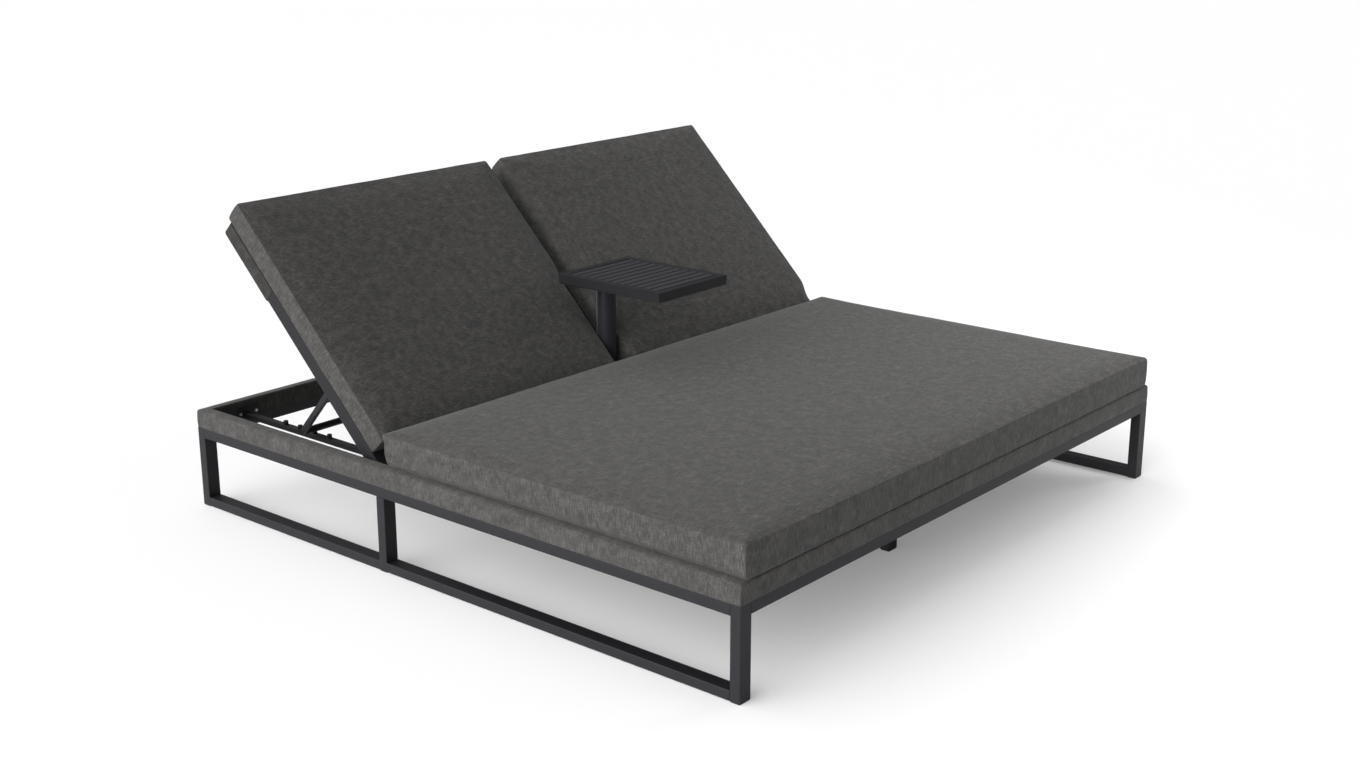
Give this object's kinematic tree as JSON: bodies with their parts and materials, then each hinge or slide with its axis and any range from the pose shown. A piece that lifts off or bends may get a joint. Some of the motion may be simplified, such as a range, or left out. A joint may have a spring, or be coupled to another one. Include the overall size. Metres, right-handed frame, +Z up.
{
  "type": "double chaise lounger",
  "caption": "Low two-person outdoor lounger with separately reclining padded backs, one wide seat cushion and a slatted swivel table between them.",
  "frame": {"origin": "middle of the footprint, on the floor", "axes": "+X across the lounger towards the right-hand side seen from its foot end, +Y from the foot end to the head end, +Z up"},
  "size_m": [2, 2, 0.9068],
  "materials": {
    "powder_coated_frame": "fine matt powder coat, charcoal",
    "outdoor_fabric": "heathered charcoal outdoor weave",
    "deck_board": "sealed dark plywood",
    "nylon": "black nylon",
    "stainless_steel": "plain stainless steel"
  },
  "bodies": {
    "base": {"band_boards": "deck_board", "centre_beam": "powder_coated_frame", "centre_leg": "powder_coated_frame", "floor_glides": "nylon", "foot_band_cover": "outdoor_fabric", "foot_rail": "powder_coated_frame", "head_band_cover": "outdoor_fabric", "head_rail": "powder_coated_frame", "hinge_beam": "powder_coated_frame", "hinge_pins": "stainless_steel", "hinge_saddle": "powder_coated_frame", "hinge_side_plates": "powder_coated_frame", "left_band_cover": "outdoor_fabric", "left_legs": "powder_coated_frame", "left_rack_pegs": "powder_coated_frame", "left_racks": "powder_coated_frame", "left_runner": "powder_coated_frame", "left_top_rail": "powder_coated_frame", "rack_bolts": "stainless_steel", "rack_flanges": "powder_coated_frame", "right_band_cover": "outdoor_fabric", "right_legs": "powder_coated_frame", "right_rack_pegs": "powder_coated_frame", "right_racks": "powder_coated_frame", "right_runner": "powder_coated_frame", "right_top_rail": "powder_coated_frame", "seat_centre_riser": "powder_coated_frame", "seat_cushion": "outdoor_fabric", "seat_head_rail": "powder_coated_frame", "seat_ledges": "powder_coated_frame", "seat_slats": "deck_board", "table_socket": "powder_coated_frame", "table_socket_liner": "nylon"},
    "left_back": {"left_back_cross_tubes": "powder_coated_frame", "left_back_cushion": "outdoor_fabric", "left_back_rails": "powder_coated_frame", "left_back_slats": "deck_board", "left_head_board": "deck_board", "left_head_cover": "outdoor_fabric", "left_hinge_bushes": "nylon", "left_prop_lugs": "powder_coated_frame", "left_prop_pins": "stainless_steel"},
    "right_back": {"right_back_cross_tubes": "powder_coated_frame", "right_back_cushion": "outdoor_fabric", "right_back_rails": "powder_coated_frame", "right_back_slats": "deck_board", "right_head_board": "deck_board", "right_head_cover": "outdoor_fabric", "right_hinge_bushes": "nylon", "right_prop_lugs": "powder_coated_frame", "right_prop_pins": "stainless_steel"},
    "left_prop": {"left_prop_bar": "powder_coated_frame", "left_prop_struts": "powder_coated_frame"},
    "right_prop": {"right_prop_bar": "powder_coated_frame", "right_prop_struts": "powder_coated_frame"},
    "table": {"table_bearer": "powder_coated_frame", "table_frame": "powder_coated_frame", "table_plate": "powder_coated_frame", "table_post": "powder_coated_frame", "table_slats": "powder_coated_frame"}
  },
  "joints": [
    {"name": "left_back_tilt", "type": "hinge", "parent": "base", "child": "left_back", "pos_m": [0, 0.2574, 0.2638], "axis": [1, 0, 0], "range_deg": [-40.5, 7.8]},
    {"name": "left_prop_swing", "type": "hinge", "parent": "left_back", "child": "left_prop", "pos_m": [0, 0.46246, 0.46886], "axis": [1, 0, 0], "range_deg": [-17.1, 88.4]},
    {"name": "right_back_tilt", "type": "hinge", "parent": "base", "child": "right_back", "pos_m": [0, 0.2574, 0.2638], "axis": [1, 0, 0], "range_deg": [-40.5, 7.8]},
    {"name": "right_prop_swing", "type": "hinge", "parent": "right_back", "child": "right_prop", "pos_m": [0, 0.46246, 0.46886], "axis": [1, 0, 0], "range_deg": [-17.1, 88.4]},
    {"name": "table_swivel", "type": "hinge", "parent": "base", "child": "table", "pos_m": [0, 0.304, 0.305], "axis": [0, 0, 1], "range_deg": [-14, 14]}
  ],
  "couplings": [
    {"joint": "left_prop_swing", "follows": "left_back_tilt", "ratio": -2.18},
    {"joint": "right_prop_swing", "follows": "right_back_tilt", "ratio": -2.18}
  ]
}
